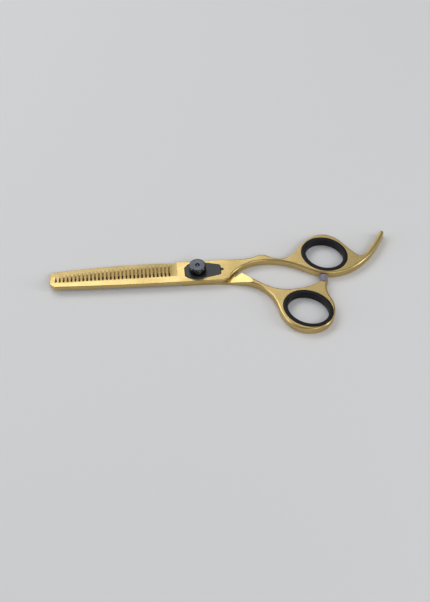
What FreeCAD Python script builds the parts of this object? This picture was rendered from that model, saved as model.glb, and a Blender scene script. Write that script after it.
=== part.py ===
import FreeCAD, Part
import math
import os
from FreeCAD import Vector

# Thinning shears, closed, lying flat. Millimetres.
# The origin is on the pivot axis at the resting face; tips point to -X, handles to +X, +Z is up.

# ---- blades -----------------------------------------------------------------------------
PLAIN_TOP = 1.95            # mating face of the plain half
TOOTH_BOTTOM = 2.05         # mating face of the toothed half
TOP = 4.0                   # outer face of the toothed half and of both handles
SPINE_RADIUS = 950.0        # long convex curve of the toothed spine
SPINE_FLAT_X = 5.0          # where that curve runs level
SPINE_ROUND = 0.4           # outer long edges of the toothed half

SLOT_COUNT = 30
SLOT_FIRST_X = -70.4
SLOT_PITCH = 1.941
SLOT_WIDTH = 0.85
SLOT_ROOT_TIP = -2.2        # y of the slot's root at the tip end
SLOT_ROOT_HEEL = -3.05      # y of the slot's root at the heel end
TOOTH_SHOULDER_X = -10.1    # the ground tooth face ends here
TOOTH_TIP_THICKNESS = 0.85
TOOTH_TIP_Y = 5.4           # y of the tooth tips at the heel end
TOOTH_FACE_TURN = -0.6      # degrees; the ground face follows the slot roots
BLADE_REACH = 70.0          # cuts run this far along a blade, past its tip
PLAIN_BEVEL_WIDTH = 2.3     # outer bevel behind the plain cutting edge
PLAIN_EDGE_LAND = 0.15
PLAIN_EDGE_Y = 0.9
PLAIN_HEEL_X = -12.2        # the plain cutting edge ends here
HOLLOW_RADIUS = 45.0        # hollow grind on both mating faces
HOLLOW_DEPTH = 0.12
HOLLOW_END_X = -13.1

TOOTH_SEAM_X = 16.0         # weld between toothed blade and finger handle
PLAIN_SEAM_X = 14.0         # weld between plain blade and thumb handle
SEAM_GAP = 0.01

# ---- handles ----------------------------------------------------------------------------
UPPER_ROUND = 0.8           # long edges of the handles, top and underside
LOWER_ROUND = 0.8
PIVOT_CLEAR_RADIUS = 19.6   # the finger shank is thick only outside this radius
PLAIN_END_RADIUS = 19.0
PLAIN_END_Y = 5.5
PLAIN_END_LOW_Y = -5.0
PLAIN_SEAM_Y = -7.6         # near corner of the seam
FIRST_ROUND_X = 20.0        # edges of the thumb handle short of this are not rounded
RAMP_LOW_X = 15.2           # the thumb shank's ramp starts here at the mating face
RAMP_END_X = 26.5           # the thumb shank's ramp reaches full height here
SPUR_BORE_RADIUS = 0.9
SPUR_BORE_DEPTH = 3.0

FINGER_HOLE = {"centre": (64.0, 5.0), "long": 12.15, "short": 10.6, "turn": -40.0}
THUMB_HOLE = {"centre": (52.0, -29.3), "long": 13.1, "short": 11.0, "turn": -42.0}
INSERT_WALL = 2.3
INSERT_BOTTOM = 0.15
INSERT_TOP = 4.15
INSERT_GAP = 0.02
INSERT_ROUND = 0.6
RIB_BOTTOM = 1.3            # rib inside each ring that holds the rubber
RIB_TOP = 2.7
RIB_DEPTH = 0.5

BUMPER_RADIUS = 1.95
BUMPER_X = 61.9
BUMPER_Z = 2.0
SPUR_END_Y = -12.1
BUMPER_END_Y = -7.42
BUMPER_END_ROUND = 0.7
BUMPER_PEG_LENGTH = 3.8
BUMPER_PEG_GAP = 0.02

# ---- pivot ------------------------------------------------------------------------------
BOLT_HEAD_RADIUS = 4.5
BOLT_HEAD_TOP = 0.95
BOLT_JOURNAL_RADIUS = 2.5
BOLT_KEY_HALF = 2.0
BOLT_JOURNAL_TOP = 3.15
BOLT_THREAD_RADIUS = 1.5
BOLT_THREAD_FLAT = 1.25
BOLT_SHOULDER = 6.9         # the thread ends here in a thinner tip
BOLT_TIP_RADIUS = 0.7
BOLT_TOP = 7.75
BOLT_CHAMFER = 0.25
FIT = 0.03                  # radial running clearance

WASHER_OUTER = 5.6
WASHER_INNER = 3.3
WASHER_BOTTOM = 1.70
WASHER_TOP = 2.27
WASHER_ROOM = 0.03

BUSHING_OUTER = 3.1
BUSHING_BOTTOM = 2.32
POCKET_FLOOR = 3.2
PLATE_TOP = 4.3
PLATE_GAP = 0.12
PLATE_HOLE_RADIUS = 1.7
PLATE_BEVEL = 0.25
PIN_POSITION = (12.25, -0.4)
PIN_RADIUS = 0.85
PIN_BOTTOM = 2.6
PIN_TOP = 3.7
PIN_ROUND = 0.2

CLICK_DISC_BOTTOM = 4.32
CLICK_DISC_TOP = 4.70
CLICK_DISC_RADIUS = 3.55
CLICK_COUNT = 12
CLICK_RADIUS = 3.0          # circle of the dimples
BALL_RADIUS = 0.35
BALL_SINK = 0.05
BALL_HOLE_RADIUS = 0.38
BALL_ANGLE = 30.0
CLICK_SPRING_TOP = 6.05
CLICK_WIRE = 0.05           # half the width of the square wire

SPRING_OUTER = 2.42
SPRING_TOP = 5.05
SPRING_THICKNESS = 0.15

KNOB_RADIUS = 4.25
KNOB_BOTTOM = 4.36
KNOB_RUN_GAP = 0.04
KNOB_TOP = 7.95
KNOB_TOP_ROUND = 0.7
KNOB_FOOT_BEVEL = 0.2
KNOB_DISC_ROOM = 3.65
KNOB_SPRING_ROOM = 2.5
KNOB_SPRING_ROOM_TOP = 5.15
KNOB_BORE_TOP = 7.0
KNOB_EYE_RADIUS = 1.1       # the hole in the knob's top that shows the bolt's tip
SET_SCREW_Z = 6.6
SET_SCREW_RADIUS = 0.55
SET_SCREW_TIP = 1.58
SET_SCREW_END = 3.7
SET_SCREW_SOCKET = 0.3      # corner radius of the hexagon
SET_SCREW_SOCKET_DEPTH = 0.8
SET_SCREW_ANGLE = -92.0

UP = Vector(0, 0, 1)
ORIGIN = Vector(0, 0, 0)


# ---- small helpers ----------------------------------------------------------------------
def flat(x, y, z=0.0):
    return Vector(x, y, z)


def curve(points):
    """A smooth edge through plan points."""
    spline = Part.BSplineCurve()
    spline.interpolate([flat(x, y) for x, y in points])
    return spline.toShape()


def arc(start, middle, end):
    return Part.Arc(flat(*start), flat(*middle), flat(*end)).toShape()


def line(start, end):
    return Part.makeLine(flat(*start), flat(*end))


def slab(edges, bottom, top):
    """Extrude a closed plan outline between two heights."""
    face = Part.Face(Part.Wire(edges))
    face.translate(flat(0, 0, bottom))
    return face.extrude(flat(0, 0, top - bottom))


def rod(radius, bottom, top, x=0.0, y=0.0):
    return Part.makeCylinder(radius, top - bottom, flat(x, y, bottom))


def tube(outer, inner, bottom, top):
    return rod(outer, bottom, top).cut(rod(inner, bottom - 1, top + 1))


def oval(hole, inset, bottom, top):
    """An oval prism that follows a ring's hole, drawn in by inset."""
    shape = Part.Ellipse(ORIGIN, hole["long"] - inset, hole["short"] - inset).toShape()
    prism = Part.Face(Part.Wire(shape)).extrude(flat(0, 0, top - bottom))
    prism.rotate(ORIGIN, UP, hole["turn"])
    prism.translate(flat(hole["centre"][0], hole["centre"][1], bottom))
    return prism


def spine_tilt(x):
    """Angle in degrees by which the spine has turned at this x."""
    return math.degrees((SPINE_FLAT_X - x) / SPINE_RADIUS)


def any_edge(x, y, length):
    return True


def edges_at(shape, height, keep):
    """Edges lying in one level plane whose middle passes a test."""
    found = []
    for edge in shape.Edges:
        box = edge.BoundBox
        level = abs(box.ZMin - height) < 1e-4 and abs(box.ZMax - height) < 1e-4
        if level and keep(box.Center.x, box.Center.y, edge.Length):
            found.append(edge)
    return found


# ---- blades -----------------------------------------------------------------------------
def tooth_tip_line():
    return [(-11.6, TOOTH_TIP_Y), (-30.0, 5.1), (-50.0, 4.2), (-71.5, 2.2)]


def toothed_blank():
    tip_line = tooth_tip_line()
    outline = [
        line((TOOTH_SEAM_X, -5.0), (TOOTH_SEAM_X, 5.7)),
        curve([(TOOTH_SEAM_X, 5.7), (4.0, 6.0), (TOOTH_SHOULDER_X, 6.3)]),
        line((TOOTH_SHOULDER_X, 6.3), tip_line[0]),
        curve(tip_line),
        arc(tip_line[-1], (-73.3, -1.0), (-72.2, -4.3)),
        line((-72.2, -4.3), (-71.0, -5.25)),
        curve([(-71.0, -5.25), (-50.0, -6.15), (-25.0, -6.95), (0.0, -7.35), (10.0, -7.4), (13.4, -7.0),
               (15.2, -5.9), (TOOTH_SEAM_X, -5.0)]),
    ]
    blank = slab(outline, TOOTH_BOTTOM, TOP)
    spine = edges_at(blank, TOP, lambda x, y, length: y < -3.0)
    ricasso = edges_at(blank, TOP, lambda x, y, length: y > 5.0 and x > TOOTH_SHOULDER_X)
    return blank.makeFillet(SPINE_ROUND, spine + ricasso)


def tooth_face_cut():
    """The wedge ground off the outer face so that the teeth thin toward their tips."""
    root = SLOT_ROOT_HEEL
    far = TOOTH_TIP_Y + 2.6
    drop = (TOP - TOOTH_BOTTOM - TOOTH_TIP_THICKNESS) / (TOOTH_TIP_Y - root)
    section = Part.makePolygon([
        flat(TOOTH_SHOULDER_X, root, TOP),
        flat(TOOTH_SHOULDER_X, far, TOP - drop * (far - root)),
        flat(TOOTH_SHOULDER_X, far, TOP + 1),
        flat(TOOTH_SHOULDER_X, root, TOP + 1),
        flat(TOOTH_SHOULDER_X, root, TOP),
    ])
    wedge = Part.Face(section).extrude(flat(-BLADE_REACH, 0, 0))
    wedge.rotate(flat(TOOTH_SHOULDER_X, root, 0), UP, TOOTH_FACE_TURN)
    return wedge


def slot(index):
    x = SLOT_FIRST_X + SLOT_PITCH * index
    share = index / (SLOT_COUNT - 1)
    root = SLOT_ROOT_TIP + (SLOT_ROOT_HEEL - SLOT_ROOT_TIP) * share
    half = SLOT_WIDTH / 2
    length = 12.0
    depth = TOP - TOOTH_BOTTOM + 2
    body = Part.makeBox(SLOT_WIDTH, length, depth, flat(-half, half, 0))
    body = body.fuse(Part.makeCylinder(half, depth, flat(0, half, 0)))
    body.rotate(ORIGIN, UP, -spine_tilt(x))
    body.translate(flat(x, root, TOOTH_BOTTOM - 1))
    return body


def hollow_grind(centre_y, face_z, side):
    """A shallow lengthwise hollow in a mating face; side is +1 above the face, -1 below it."""
    centre_z = face_z + side * (HOLLOW_RADIUS - HOLLOW_DEPTH)
    start = flat(HOLLOW_END_X, centre_y, centre_z)
    return Part.makeCylinder(HOLLOW_RADIUS, BLADE_REACH, start, Vector(-1, 0, 0))


def plate_outline(grow):
    """The leaf-shaped tension plate, grown outward by a gap for its pocket."""
    left = -6.4 - grow
    right = 11.6 + grow
    return [
        line((left, -3.5), (left, 1.8)),
        line((left, 1.8), (left + 1.8, 3.8 + grow)),
        curve([(left + 1.8, 3.8 + grow), (0.0, 4.7 + grow), (5.0, 4.2 + grow), (right - 0.7, 2.7 + grow)]),
        line((right - 0.7, 2.7 + grow), (right, 1.9)),
        line((right, 1.9), (right, -2.9)),
        line((right, -2.9), (right - 0.7, -3.7 - grow)),
        curve([(right - 0.7, -3.7 - grow), (5.0, -5.0 - grow), (0.0, -5.6 - grow),
               (left + 1.8, -4.9 - grow)]),
        line((left + 1.8, -4.9 - grow), (left, -3.5)),
    ]


def make_toothed_blade():
    blade = toothed_blank()
    blade = blade.cut(tooth_face_cut())
    for index in range(SLOT_COUNT):
        blade = blade.cut(slot(index))
    blade = blade.cut(hollow_grind(-1.5, TOOTH_BOTTOM, -1))
    blade = blade.cut(slab(plate_outline(PLATE_GAP), POCKET_FLOOR, TOP + 1))
    blade = blade.cut(rod(BUSHING_OUTER, TOOTH_BOTTOM - 1, TOP))
    blade = blade.cut(rod(WASHER_OUTER + WASHER_ROOM, TOOTH_BOTTOM - 1, WASHER_TOP + WASHER_ROOM))
    blade = blade.cut(rod(PIN_RADIUS, PIN_BOTTOM, TOP + 1, *PIN_POSITION))
    return blade


def plain_blank():
    outline = [
        line((PLAIN_SEAM_X - SEAM_GAP, PLAIN_SEAM_Y), (PLAIN_SEAM_X - SEAM_GAP, PLAIN_END_Y)),
        curve([(PLAIN_SEAM_X - SEAM_GAP, PLAIN_END_Y), (0.0, 6.1), (-15.0, 7.3), (-30.0, 7.8),
               (-45.0, 7.6), (-60.0, 7.0), (-71.4, 6.2)]),
        arc((-71.4, 6.2), (-73.1, 4.2), (-72.6, 1.3)),
        line((-72.6, 1.3), (-14.0, 0.95)),
        curve([(-14.0, 0.95), (-11.5, -1.0), (-9.2, -4.8), (-6.0, -6.5)]),
        curve([(-6.0, -6.5), (4.0, -6.6), (PLAIN_SEAM_X - SEAM_GAP, PLAIN_SEAM_Y)]),
    ]
    return slab(outline, 0.0, PLAIN_TOP)


def plain_bevel_cut():
    """The wedge ground off the outer face behind the plain cutting edge."""
    low_y = PLAIN_EDGE_Y - 1
    back_y = PLAIN_EDGE_Y + PLAIN_BEVEL_WIDTH
    land_z = PLAIN_TOP - PLAIN_EDGE_LAND
    section = Part.makePolygon([
        flat(PLAIN_HEEL_X, low_y, -1),
        flat(PLAIN_HEEL_X, back_y, -1),
        flat(PLAIN_HEEL_X, back_y, 0),
        flat(PLAIN_HEEL_X, PLAIN_EDGE_Y, land_z),
        flat(PLAIN_HEEL_X, low_y, land_z),
        flat(PLAIN_HEEL_X, low_y, -1),
    ])
    return Part.Face(section).extrude(flat(-BLADE_REACH, 0, 0))


def keyed_hole(bottom, top, gap):
    """A round hole with two flats that stops the bolt from turning."""
    half = BOLT_KEY_HALF + gap
    width = 2 * (BOLT_JOURNAL_RADIUS + gap)
    flats = Part.makeBox(2 * half, width, top - bottom, flat(-half, -width / 2, bottom))
    return rod(BOLT_JOURNAL_RADIUS + gap, bottom, top).common(flats)


def make_plain_blade():
    blade = plain_blank()
    blade = blade.cut(plain_bevel_cut())
    blade = blade.cut(hollow_grind(4.3, PLAIN_TOP, 1))
    blade = blade.cut(rod(BOLT_HEAD_RADIUS + INSERT_GAP, -1, BOLT_HEAD_TOP))
    blade = blade.cut(rod(WASHER_OUTER + WASHER_ROOM, WASHER_BOTTOM, PLAIN_TOP + 1))
    blade = blade.cut(keyed_hole(-1, PLAIN_TOP + 1, INSERT_GAP / 2))
    return blade


# ---- handles ----------------------------------------------------------------------------
def ring_bore(hole):
    """The oval hole through a ring, with the rib that holds the rubber left standing."""
    bore = oval(hole, 0.0, -1, TOP + 1)
    rib = oval(hole, 0.0, RIB_BOTTOM, RIB_TOP).cut(oval(hole, RIB_DEPTH, RIB_BOTTOM - 1, RIB_TOP + 1))
    return bore.cut(rib)


def finger_blank():
    outline = [
        curve([(TOOTH_SEAM_X + SEAM_GAP, -5.0), (20.0, -0.9), (26.0, 2.3), (33.0, 3.5), (42.0, 2.4),
               (50.0, -0.9), (58.0, -5.6), (66.0, -7.5), (74.0, -6.2), (82.2, -1.4), (89.3, 6.4),
               (95.3, 16.8)]),
        arc((95.3, 16.8), (94.9, 18.3), (93.3, 17.7)),
        curve([(93.3, 17.7), (90.3, 12.4), (86.3, 6.6), (83.6, 3.6), (81.8, 3.0), (79.9, 4.4),
               (76.0, 9.2), (71.0, 15.4), (64.2, 18.5), (56.6, 15.7), (50.6, 9.7), (46.2, 5.5),
               (41.8, 4.3), (37.2, 5.8), (32.5, 7.7), (27.8, 6.3), (22.0, 5.6),
               (TOOTH_SEAM_X + SEAM_GAP, 5.7)]),
        line((TOOTH_SEAM_X + SEAM_GAP, 5.7), (TOOTH_SEAM_X + SEAM_GAP, -5.0)),
    ]
    return slab(outline, 0.0, TOP)


def rounded(shape, first_x):
    """Round the long outer edges above and below; edges short of first_x stay sharp."""
    for level, radius in ((0.0, LOWER_ROUND), (TOP, UPPER_ROUND)):
        edges = edges_at(shape, level, lambda x, y, length: x > first_x)
        shape = shape.makeFillet(radius, edges)
    return shape


def make_finger_handle():
    handle = rounded(finger_blank(), TOOTH_SEAM_X + 1)
    handle = handle.cut(rod(PIVOT_CLEAR_RADIUS, -1, TOOTH_BOTTOM))
    return handle.cut(ring_bore(FINGER_HOLE))


def thumb_blank():
    outline = [
        line((PLAIN_SEAM_X, PLAIN_SEAM_Y), (PLAIN_SEAM_X, -6.4)),
        curve([(PLAIN_SEAM_X, -6.4), (17.0, -5.7), (20.0, -4.0), (21.8, -3.0)]),
        curve([(21.8, -3.0), (24.6, -5.6), (29.0, -9.1), (34.0, -12.7), (39.0, -15.0), (46.0, -15.8),
               (53.0, -15.0), (59.8, SPUR_END_Y)]),
        line((59.8, SPUR_END_Y), (63.7, SPUR_END_Y)),
        curve([(63.7, SPUR_END_Y), (62.7, -15.7), (63.0, -20.0), (64.7, -25.0), (65.2, -30.5), (63.5, -36.0),
               (59.5, -40.6), (53.0, -42.5), (46.0, -40.7), (41.1, -36.2), (38.4, -30.5), (37.2, -25.0),
               (34.7, -18.3), (30.5, -13.3), (25.0, -10.0), (19.0, -8.6), (PLAIN_SEAM_X, PLAIN_SEAM_Y)]),
    ]
    return slab(outline, 0.0, TOP)


def ramp_cut():
    """The wedge above the ramp that leads from the ricasso up to the full handle height."""
    low = PLAIN_TOP
    section = Part.makePolygon([
        flat(PLAIN_SEAM_X - 1, -20, low),
        flat(RAMP_LOW_X, -20, low),
        flat(RAMP_END_X, -20, TOP),
        flat(RAMP_END_X, -20, TOP + 1),
        flat(PLAIN_SEAM_X - 1, -20, TOP + 1),
        flat(PLAIN_SEAM_X - 1, -20, low),
    ])
    return Part.Face(section).extrude(flat(0, 30.0, 0))


def plain_end_pad():
    """The flat end of the plain ricasso that the thumb shank grows out of."""
    high_x = math.sqrt(PLAIN_END_RADIUS ** 2 - PLAIN_END_Y ** 2)
    low_x = math.sqrt(PLAIN_END_RADIUS ** 2 - PLAIN_END_LOW_Y ** 2)
    near_y = PLAIN_SEAM_Y + 0.05
    outline = [
        line((PLAIN_SEAM_X, near_y), (PLAIN_SEAM_X, PLAIN_END_Y)),
        line((PLAIN_SEAM_X, PLAIN_END_Y), (high_x, PLAIN_END_Y)),
        arc((high_x, PLAIN_END_Y), (PLAIN_END_RADIUS, 0.0), (low_x, PLAIN_END_LOW_Y)),
        line((low_x, PLAIN_END_LOW_Y), (PLAIN_SEAM_X, near_y)),
    ]
    return slab(outline, 0.0, PLAIN_TOP)


def spur_bore(radius, length):
    return Part.makeCylinder(radius, length, flat(BUMPER_X, SPUR_END_Y, BUMPER_Z), Vector(0, -1, 0))


def make_thumb_handle():
    handle = rounded(thumb_blank(), FIRST_ROUND_X)
    handle = handle.cut(ramp_cut())
    handle = handle.fuse(plain_end_pad())
    handle = handle.cut(spur_bore(SPUR_BORE_RADIUS, SPUR_BORE_DEPTH))
    return handle.cut(ring_bore(THUMB_HOLE)).removeSplitter()


def make_insert(hole):
    """A rubber finger insert: an oval sleeve with a groove for the ring's rib."""
    body = oval(hole, INSERT_GAP, INSERT_BOTTOM, INSERT_TOP)
    body = body.cut(oval(hole, INSERT_WALL, -1, TOP + 2))
    inner = [edge for level in (INSERT_BOTTOM, INSERT_TOP)
             for edge in edges_at(body, level, any_edge)]
    body = body.makeFillet(INSERT_ROUND, inner)
    groove = oval(hole, -1.0, RIB_BOTTOM - INSERT_GAP, RIB_TOP + INSERT_GAP)
    groove = groove.cut(oval(hole, RIB_DEPTH + INSERT_GAP, -1, TOP + 1))
    return body.cut(groove)


def make_bumper():
    """The silencer: a soft cylinder with a peg pressed into the spur."""
    start = flat(BUMPER_X, SPUR_END_Y + SEAM_GAP, BUMPER_Z)
    length = BUMPER_END_Y - SPUR_END_Y - SEAM_GAP
    barrel = Part.makeCylinder(BUMPER_RADIUS, length, start, Vector(0, 1, 0))
    end_edges = [edge for edge in barrel.Edges if edge.BoundBox.YMin > BUMPER_END_Y - 0.1]
    barrel = barrel.makeFillet(BUMPER_END_ROUND, end_edges)
    peg = spur_bore(SPUR_BORE_RADIUS - BUMPER_PEG_GAP, BUMPER_PEG_LENGTH)
    peg.translate(flat(0, 2 * BUMPER_END_ROUND, 0))
    return barrel.fuse(peg)


# ---- pivot ------------------------------------------------------------------------------
def make_bolt():
    head = rod(BOLT_HEAD_RADIUS, 0.0, BOLT_HEAD_TOP)
    head = head.makeChamfer(BOLT_CHAMFER, edges_at(head, 0.0, any_edge))
    key = keyed_hole(BOLT_HEAD_TOP, WASHER_BOTTOM, 0.0)
    journal = rod(BOLT_JOURNAL_RADIUS, WASHER_BOTTOM, BOLT_JOURNAL_TOP)
    thread = rod(BOLT_THREAD_RADIUS, BOLT_JOURNAL_TOP, BOLT_SHOULDER)
    thread = thread.makeChamfer(BOLT_CHAMFER, edges_at(thread, BOLT_SHOULDER, any_edge))
    flat_cut = Part.makeBox(2.0, 8.0, BOLT_TOP, flat(BOLT_THREAD_FLAT, -4.0, PLATE_TOP))
    tip = rod(BOLT_TIP_RADIUS, BOLT_JOURNAL_TOP, BOLT_TOP)
    tip = tip.makeChamfer(BOLT_CHAMFER, edges_at(tip, BOLT_TOP, any_edge))
    return head.fuse([key, journal, thread.cut(flat_cut), tip])


def make_glide_washer():
    return tube(WASHER_OUTER, WASHER_INNER, WASHER_BOTTOM, WASHER_TOP)


def make_bushing():
    return tube(BUSHING_OUTER, BOLT_JOURNAL_RADIUS + FIT, BUSHING_BOTTOM, BOLT_JOURNAL_TOP + FIT)


def make_tension_plate():
    plate = slab(plate_outline(0.0), POCKET_FLOOR, PLATE_TOP)
    rim = edges_at(plate, PLATE_TOP, any_edge)
    plate = plate.makeChamfer(PLATE_BEVEL, rim)
    plate = plate.cut(rod(PLATE_HOLE_RADIUS, POCKET_FLOOR - 1, PLATE_TOP + 1))
    return plate.cut(rod(PIN_RADIUS + INSERT_GAP, POCKET_FLOOR - 1, PLATE_TOP + 1, *PIN_POSITION))


def make_plate_pin():
    pin = rod(PIN_RADIUS - INSERT_GAP, PIN_BOTTOM, PIN_TOP, *PIN_POSITION)
    return pin.makeFillet(PIN_ROUND, edges_at(pin, PIN_TOP, any_edge))


def circle_position(radius, angle):
    turn = math.radians(angle)
    return radius * math.cos(turn), radius * math.sin(turn)


def click_ball_at(angle, radius):
    x, y = circle_position(CLICK_RADIUS, angle)
    height = CLICK_DISC_TOP - BALL_SINK + BALL_RADIUS
    return Part.makeSphere(radius, flat(x, y, height))


def make_click_disc():
    """The dimpled disc, keyed to the bolt's flat, that the knob clicks against."""
    disc = rod(CLICK_DISC_RADIUS, CLICK_DISC_BOTTOM, CLICK_DISC_TOP)
    hole = rod(BOLT_THREAD_RADIUS + FIT, CLICK_DISC_BOTTOM - 1, CLICK_DISC_TOP + 1)
    key_side = Part.makeBox(3.0, 8.0, 4.0, flat(BOLT_THREAD_FLAT + FIT, -4.0, CLICK_DISC_BOTTOM - 2))
    disc = disc.cut(hole.cut(key_side))
    for index in range(CLICK_COUNT):
        angle = BALL_ANGLE + index * 360.0 / CLICK_COUNT
        disc = disc.cut(click_ball_at(angle, BALL_RADIUS + 0.01))
    return disc


def make_disc_spring():
    """A cone-shaped spring washer between the click disc and the knob."""
    inner = BOLT_THREAD_RADIUS + 2 * FIT
    low = CLICK_DISC_TOP
    section = Part.makePolygon([
        flat(SPRING_OUTER, 0, low),
        flat(SPRING_OUTER, 0, low + SPRING_THICKNESS),
        flat(inner, 0, SPRING_TOP),
        flat(inner, 0, SPRING_TOP - SPRING_THICKNESS),
        flat(SPRING_OUTER, 0, low),
    ])
    return Part.Face(section).revolve(ORIGIN, UP, 360)


def make_knob():
    knob = rod(KNOB_RADIUS, KNOB_BOTTOM, KNOB_TOP)
    knob = knob.makeFillet(KNOB_TOP_ROUND, edges_at(knob, KNOB_TOP, any_edge))
    knob = knob.makeChamfer(KNOB_FOOT_BEVEL, edges_at(knob, KNOB_BOTTOM, any_edge))
    knob = knob.cut(rod(KNOB_DISC_ROOM, KNOB_BOTTOM - 1, CLICK_DISC_TOP + KNOB_RUN_GAP))
    knob = knob.cut(rod(KNOB_SPRING_ROOM, KNOB_BOTTOM, KNOB_SPRING_ROOM_TOP))
    knob = knob.cut(rod(BOLT_THREAD_RADIUS + FIT, KNOB_BOTTOM, KNOB_BORE_TOP))
    knob = knob.cut(rod(KNOB_EYE_RADIUS, KNOB_BOTTOM, KNOB_TOP + 1))
    x, y = circle_position(CLICK_RADIUS, BALL_ANGLE)
    knob = knob.cut(rod(BALL_HOLE_RADIUS, CLICK_DISC_TOP, CLICK_SPRING_TOP + 0.05, x, y))
    return knob.cut(radial_rod(SET_SCREW_RADIUS, BOLT_THREAD_RADIUS - 0.1, KNOB_RADIUS + 1))


def radial_rod(radius, start, end):
    """A rod along the set screw's line, measured out from the pivot axis."""
    x, y = circle_position(1.0, SET_SCREW_ANGLE)
    direction = Vector(x, y, 0)
    base = flat(start * x, start * y, SET_SCREW_Z)
    return Part.makeCylinder(radius, end - start, base, direction)


def make_set_screw():
    screw = radial_rod(SET_SCREW_RADIUS - INSERT_GAP / 2, SET_SCREW_TIP, SET_SCREW_END)
    corners = []
    for index in range(7):
        turn = math.radians(60 * index)
        corners.append(flat(0, SET_SCREW_SOCKET * math.cos(turn), SET_SCREW_SOCKET * math.sin(turn)))
    socket = Part.Face(Part.makePolygon(corners)).extrude(flat(1.0, 0, 0))
    socket.translate(flat(SET_SCREW_END - SET_SCREW_SOCKET_DEPTH, 0, SET_SCREW_Z))
    socket.rotate(flat(0, 0, SET_SCREW_Z), UP, SET_SCREW_ANGLE)
    return screw.cut(socket)


def make_click_spring():
    x, y = circle_position(CLICK_RADIUS, BALL_ANGLE)
    low = CLICK_DISC_TOP - BALL_SINK + 2 * BALL_RADIUS + CLICK_WIRE
    coil_radius = BALL_HOLE_RADIUS - CLICK_WIRE - 0.05
    height = CLICK_SPRING_TOP - CLICK_WIRE - low
    helix = Part.makeHelix(height / 4, height, coil_radius)
    section = Part.makePolygon([
        flat(coil_radius - CLICK_WIRE, 0, -CLICK_WIRE),
        flat(coil_radius + CLICK_WIRE, 0, -CLICK_WIRE),
        flat(coil_radius + CLICK_WIRE, 0, CLICK_WIRE),
        flat(coil_radius - CLICK_WIRE, 0, CLICK_WIRE),
        flat(coil_radius - CLICK_WIRE, 0, -CLICK_WIRE),
    ])
    coil = Part.Wire(helix).makePipeShell([section], True, True)
    coil.translate(flat(x, y, low))
    return coil


NODES = {
    "toothed_blade": make_toothed_blade,
    "finger_handle": make_finger_handle,
    "finger_insert": lambda: make_insert(FINGER_HOLE),
    "plain_blade": make_plain_blade,
    "thumb_handle": make_thumb_handle,
    "thumb_insert": lambda: make_insert(THUMB_HOLE),
    "bumper": make_bumper,
    "pivot_bolt": make_bolt,
    "glide_washer": make_glide_washer,
    "pivot_bushing": make_bushing,
    "tension_plate": make_tension_plate,
    "plate_pin": make_plate_pin,
    "click_disc": make_click_disc,
    "disc_spring": make_disc_spring,
    "knob": make_knob,
    "set_screw": make_set_screw,
    "click_ball": lambda: click_ball_at(BALL_ANGLE, BALL_RADIUS),
    "click_spring": make_click_spring,
}

os.makedirs("parts", exist_ok=True)
for name, build in NODES.items():
    shape = build()
    print(name, shape.ShapeType, "valid", shape.isValid(), "solids", len(shape.Solids),
          "volume", round(shape.Volume, 3))
    shape.exportStep("parts/" + name + ".step")
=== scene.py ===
import math

import bpy
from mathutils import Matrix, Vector

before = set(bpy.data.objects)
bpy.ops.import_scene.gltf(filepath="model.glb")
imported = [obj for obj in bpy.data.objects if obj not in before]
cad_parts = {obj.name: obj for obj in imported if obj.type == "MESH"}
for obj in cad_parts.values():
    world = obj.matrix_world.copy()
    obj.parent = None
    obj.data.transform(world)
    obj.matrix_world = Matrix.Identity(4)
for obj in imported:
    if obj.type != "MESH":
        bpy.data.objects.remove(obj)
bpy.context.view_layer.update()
MM = 0.001

# ---- camera -------------------------------------------------------------------------------
ELEVATION = math.radians(50.0)
HEADING = math.radians(-5.0)         # the camera stands a little towards the tips
DISTANCE = 1065.5 * MM
AIM = Vector((7.19, -17.42, 0.0)) * MM
LENS = 129.35
SENSOR_WIDTH = 36.0

FLOOR_SIZE = 6.0
FLOOR_Z = -0.05 * MM                 # just under the resting face


def make_camera():
    data = bpy.data.cameras.new("camera")
    data.lens = LENS
    data.sensor_width = SENSOR_WIDTH
    data.clip_start = 0.01
    data.clip_end = 20.0
    camera = bpy.data.objects.new("camera", data)
    bpy.context.collection.objects.link(camera)
    away = Vector((
        math.sin(HEADING) * math.cos(ELEVATION),
        -math.cos(HEADING) * math.cos(ELEVATION),
        math.sin(ELEVATION),
    ))
    camera.location = AIM + away * DISTANCE
    camera.rotation_euler = (-away).to_track_quat("-Z", "Y").to_euler()
    bpy.context.scene.camera = camera


# ---- floor and light ----------------------------------------------------------------------
def make_floor():
    bpy.ops.mesh.primitive_plane_add(size=FLOOR_SIZE, location=(0, 0, FLOOR_Z))
    floor = bpy.context.object
    floor.name = "floor"
    material, tree, shader = new_material("floor_paper")
    shader.inputs["Base Color"].default_value = (0.80, 0.80, 0.80, 1)
    shader.inputs["Roughness"].default_value = 0.9
    floor.data.materials.append(material)


def area_light(name, place, target, size, power, colour=(1, 1, 1)):
    data = bpy.data.lights.new(name, "AREA")
    data.shape = "RECTANGLE"
    data.size, data.size_y = size
    data.energy = power
    data.color = colour
    light = bpy.data.objects.new(name, data)
    bpy.context.collection.objects.link(light)
    light.location = place
    light.rotation_euler = (Vector(target) - Vector(place)).to_track_quat("-Z", "Y").to_euler()


def make_lights():
    world = bpy.data.worlds.new("studio")
    bpy.context.scene.world = world
    world.use_nodes = True
    background = world.node_tree.nodes["Background"]
    background.inputs["Color"].default_value = (0.94, 0.96, 1.0, 1)
    background.inputs["Strength"].default_value = 0.27
    area_light("softbox_back", (-0.40, 0.62, 0.80), (0, 0, 0), (1.1, 0.55), 4.6)
    area_light("softbox_front", (0.35, -0.85, 0.75), (0, 0, 0), (0.6, 0.3), 2.2)
    area_light("strip_left", (-0.9, -0.1, 0.45), (0, 0, 0), (0.3, 0.8), 1.8)
    area_light("strip_right", (0.85, -0.25, 0.40), (0.05, 0, 0), (0.2, 0.6), 2.4)


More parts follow.
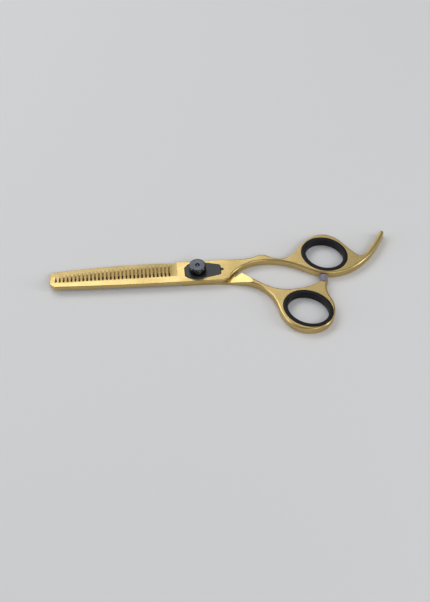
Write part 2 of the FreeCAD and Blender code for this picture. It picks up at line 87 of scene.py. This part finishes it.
# ---- material helpers ---------------------------------------------------------------------
def new_material(name):
    material = bpy.data.materials.new(name)
    material.use_nodes = True
    tree = material.node_tree
    return material, tree, tree.nodes["Principled BSDF"]


def object_coords(tree, scale):
    """Object coordinates in metres, stretched by a scale for each axis."""
    coords = tree.nodes.new("ShaderNodeTexCoord")
    mapping = tree.nodes.new("ShaderNodeMapping")
    mapping.inputs["Scale"].default_value = scale
    tree.links.new(coords.outputs["Object"], mapping.inputs["Vector"])
    return mapping.outputs["Vector"]


def object_parts(tree):
    """The separate X, Y and Z of the object coordinates, in metres."""
    coords = tree.nodes.new("ShaderNodeTexCoord")
    parts = tree.nodes.new("ShaderNodeSeparateXYZ")
    tree.links.new(coords.outputs["Object"], parts.inputs["Vector"])
    return parts.outputs


def noise(tree, scale, detail=4.0, roughness=0.55):
    """Noise with its own scale, in features for each metre, on each axis."""
    node = tree.nodes.new("ShaderNodeTexNoise")
    node.inputs["Scale"].default_value = 1.0
    node.inputs["Detail"].default_value = detail
    node.inputs["Roughness"].default_value = roughness
    tree.links.new(object_coords(tree, scale), node.inputs["Vector"])
    return node.outputs["Fac"]


def spread(tree, value, low, high, start=0.3, end=0.7):
    """Map a noise value from start..end onto low..high."""
    node = tree.nodes.new("ShaderNodeMapRange")
    node.inputs["From Min"].default_value = start
    node.inputs["From Max"].default_value = end
    node.inputs["To Min"].default_value = low
    node.inputs["To Max"].default_value = high
    tree.links.new(value, node.inputs["Value"])
    return node.outputs["Result"]


def math_node(tree, operation, first, second):
    node = tree.nodes.new("ShaderNodeMath")
    node.operation = operation
    for socket, value in zip(node.inputs, (first, second)):
        if isinstance(value, (int, float)):
            socket.default_value = value
        else:
            tree.links.new(value, socket)
    return node.outputs["Value"]


def add(tree, first, second):
    return math_node(tree, "ADD", first, second)


def times(tree, first, *others):
    product = first
    for other in others:
        product = math_node(tree, "MULTIPLY", product, other)
    return product


def mix_colour(tree, factor, first, second):
    """Blend from the first colour to the second as the factor goes from 0 to 1."""
    node = tree.nodes.new("ShaderNodeMix")
    node.data_type = "RGBA"
    tree.links.new(factor, node.inputs["Factor"])
    for socket, value in ((node.inputs[6], first), (node.inputs[7], second)):
        if isinstance(value, tuple):
            socket.default_value = (*value, 1)
        else:
            tree.links.new(value, socket)
    return node.outputs[2]


def mottled(tree, pattern, first, second):
    """Two close colours, mixed by a noise pattern."""
    return mix_colour(tree, spread(tree, pattern, 0.0, 1.0), first, second)


def add_bump(tree, shader, height, strength, distance, edge=0.0):
    """Bump from a height; edge is the radius in metres by which hard edges look worn round."""
    node = tree.nodes.new("ShaderNodeBump")
    node.inputs["Strength"].default_value = strength
    node.inputs["Distance"].default_value = distance
    tree.links.new(height, node.inputs["Height"])
    if edge > 0.0:
        soft = tree.nodes.new("ShaderNodeBevel")
        soft.samples = 6
        soft.inputs["Radius"].default_value = edge
        tree.links.new(soft.outputs["Normal"], node.inputs["Normal"])
    tree.links.new(node.outputs["Normal"], shader.inputs["Normal"])


# ---- materials ----------------------------------------------------------------------------
GOLD_LIGHT = (0.66, 0.50, 0.215)
GOLD_DEEP = (0.575, 0.425, 0.165)
GROUND_LIGHT = (0.50, 0.37, 0.155)
GROUND_DEEP = (0.36, 0.255, 0.095)
# painted shade: the duller tan laid over the plain blade's mating face
MATING_SHADE_TAN = (0.43, 0.325, 0.15)
# painted shade: the dark brown on the mating face where it shows through the slots between the teeth
SLOT_SHADE_LIGHT = (0.25, 0.165, 0.063)
SLOT_SHADE_DEEP = (0.15, 0.093, 0.032)
EDGE_WEAR = 0.14 * MM                # hard metal edges look worn round by this radius

# noise scales, in features for each metre
GOLD_CLOUDS = (90, 90, 90)
BLADE_GRAIN = (120, 6000, 6000)      # fine lines along the blade
HANDLE_GRAIN = (4500, 4500, 4500)
WHEEL_LINES = (9000, 150, 150)       # grinding lines across the blade
PLATED_CLOUDS = (260, 260, 260)
PLATED_GRAIN = (3000, 3000, 3000)
RUBBER_CLOUDS = (350, 350, 350)
RUBBER_GRAIN = (5000, 5000, 5000)

# the line of the tooth tips on the mating face: y falls away from the heel as the square of x
TIP_LINE_HEEL_X = -11.6 * MM
TIP_LINE_BOW = 0.87                  # for each metre


def satin_gold(name, grain, roughness=0.30):
    """Titanium-gold coating over a fine satin grain; grain is the noise scale for each axis."""
    material, tree, shader = new_material(name)
    shader.inputs["Metallic"].default_value = 1.0
    clouds = noise(tree, GOLD_CLOUDS)
    fine = noise(tree, grain, detail=6.0)
    colour = mottled(tree, clouds, GOLD_LIGHT, GOLD_DEEP)
    tree.links.new(colour, shader.inputs["Base Color"])
    rough = add(tree, spread(tree, fine, -0.05, 0.06),
                spread(tree, clouds, roughness - 0.03, roughness + 0.04))
    tree.links.new(rough, shader.inputs["Roughness"])
    add_bump(tree, shader, fine, 0.05, 0.01 * MM, EDGE_WEAR)
    return material, tree, shader, colour, rough


def handle_gold():
    """The coating over cast and polished handles, with no direction to its grain."""
    return satin_gold("handle_gold", HANDLE_GRAIN)[0]


def plain_gold():
    """The blade's gold; the mating face is painted a duller tan as painted shade, and a darker brown
    as painted shade where the teeth pass over it.
    """
    material, tree, shader, colour, rough = satin_gold("plain_gold", BLADE_GRAIN)
    place = object_parts(tree)
    mating = spread(tree, place["Z"], 0.0, 1.0, 1.70 * MM, 1.80 * MM)
    from_heel = add(tree, place["X"], -TIP_LINE_HEEL_X)
    fall = times(tree, from_heel, from_heel, TIP_LINE_BOW)
    under_teeth = spread(tree, add(tree, place["Y"], fall), 1.0, 0.0, 5.1 * MM, 5.6 * MM)
    before_heel = spread(tree, place["X"], 1.0, 0.0, -12.5 * MM, -10.5 * MM)
    # painted shade: the mating face under the teeth, between the tip line and the heel, is painted
    # dark brown
    slot_shade = times(tree, under_teeth, before_heel, mating)
    brown = mottled(tree, noise(tree, WHEEL_LINES, detail=5.0), SLOT_SHADE_DEEP, SLOT_SHADE_LIGHT)
    # painted shade: the mating face is painted towards the duller tan
    mating_shaded = mix_colour(tree, times(tree, mating, 0.85), colour, MATING_SHADE_TAN)
    tree.links.new(mix_colour(tree, slot_shade, mating_shaded, brown), shader.inputs["Base Color"])
    tree.links.new(add(tree, rough, times(tree, mating, 0.06)), shader.inputs["Roughness"])
    return material


def toothed_gold():
    """The blade's gold, with the ground tooth face browner and lined across."""
    material, tree, shader, colour, rough = satin_gold("toothed_gold", BLADE_GRAIN)
    place = object_parts(tree)
    beyond_root = spread(tree, place["Y"], 0.0, 1.0, -3.3 * MM, -1.7 * MM)
    before_heel = spread(tree, place["X"], 1.0, 0.0, -12.8 * MM, -10.4 * MM)
    behind_tip = spread(tree, place["X"], 0.0, 1.0, -70.5 * MM, -66.0 * MM)
    ground = times(tree, beyond_root, before_heel, behind_tip)
    tan = mottled(tree, noise(tree, WHEEL_LINES, detail=5.0), GROUND_DEEP, GROUND_LIGHT)
    shaded = mix_colour(tree, times(tree, ground, 0.92), colour, tan)
    tree.links.new(shaded, shader.inputs["Base Color"])
    tree.links.new(add(tree, rough, times(tree, ground, 0.08)), shader.inputs["Roughness"])
    return material


def plated(name, light, dark, roughness, metallic=1.0):
    """A hard plain surface, bare, plated or painted, with faint clouds and a very fine grain."""
    material, tree, shader = new_material(name)
    shader.inputs["Metallic"].default_value = metallic
    fine = noise(tree, PLATED_GRAIN)
    colour = mottled(tree, noise(tree, PLATED_CLOUDS), light, dark)
    tree.links.new(colour, shader.inputs["Base Color"])
    tree.links.new(spread(tree, fine, roughness - 0.05, roughness + 0.06), shader.inputs["Roughness"])
    add_bump(tree, shader, fine, 0.04, 0.005 * MM, EDGE_WEAR)
    return material


def moulded(name, light, dark, roughness, sheen=0.0):
    """A soft moulded surface with a fine skin, and a faint sheen where it is asked for."""
    material, tree, shader = new_material(name)
    fine = noise(tree, RUBBER_GRAIN)
    colour = mottled(tree, noise(tree, RUBBER_CLOUDS), light, dark)
    tree.links.new(colour, shader.inputs["Base Color"])
    tree.links.new(spread(tree, fine, roughness - 0.06, roughness + 0.06), shader.inputs["Roughness"])
    shader.inputs["Specular IOR Level"].default_value = 0.22
    shader.inputs["Sheen Weight"].default_value = sheen
    shader.inputs["Sheen Roughness"].default_value = 0.4
    shader.inputs["Sheen Tint"].default_value = (0.8, 0.78, 0.95, 1)
    add_bump(tree, shader, fine, 0.15, 0.02 * MM)
    return material, shader


def gunmetal():
    return plated("gunmetal", (0.080, 0.084, 0.098), (0.054, 0.057, 0.068), 0.17)


def black_satin():
    return plated("black_satin", (0.022, 0.024, 0.029), (0.013, 0.014, 0.017), 0.32, 0.0)


def bare_steel():
    return plated("bare_steel", (0.62, 0.62, 0.64), (0.5, 0.5, 0.52), 0.25)


def bronze():
    return plated("bronze", (0.55, 0.36, 0.18), (0.42, 0.27, 0.13), 0.35)


def white_nylon():
    return plated("white_nylon", (0.80, 0.80, 0.76), (0.70, 0.70, 0.66), 0.45, 0.0)


def black_rubber():
    return moulded("black_rubber", (0.009, 0.008, 0.011), (0.005, 0.005, 0.007), 0.42, 0.02)[0]


def grey_silicone():
    """Slightly translucent, for the bumper."""
    material, shader = moulded("grey_silicone", (0.27, 0.25, 0.31), (0.21, 0.19, 0.245), 0.24)
    shader.inputs["Subsurface Weight"].default_value = 0.25
    shader.inputs["Subsurface Radius"].default_value = (1.0, 0.9, 1.0)
    shader.inputs["Subsurface Scale"].default_value = 1.5 * MM
    return material


def paint(material, *nodes):
    for node in nodes:
        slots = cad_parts[node].data.materials
        slots.clear()
        slots.append(material)


def paint_all():
    paint(toothed_gold(), "toothed_blade")
    paint(plain_gold(), "plain_blade")
    paint(handle_gold(), "finger_handle", "thumb_handle")
    paint(black_rubber(), "finger_insert", "thumb_insert")
    paint(gunmetal(), "knob", "pivot_bolt")
    paint(black_satin(), "tension_plate", "plate_pin", "set_screw")
    paint(bare_steel(), "click_disc", "disc_spring", "click_ball", "click_spring")
    paint(bronze(), "pivot_bushing")
    paint(white_nylon(), "glide_washer")
    paint(grey_silicone(), "bumper")


make_camera()
make_floor()
make_lights()
paint_all()
bpy.context.scene.view_settings.view_transform = "Standard"
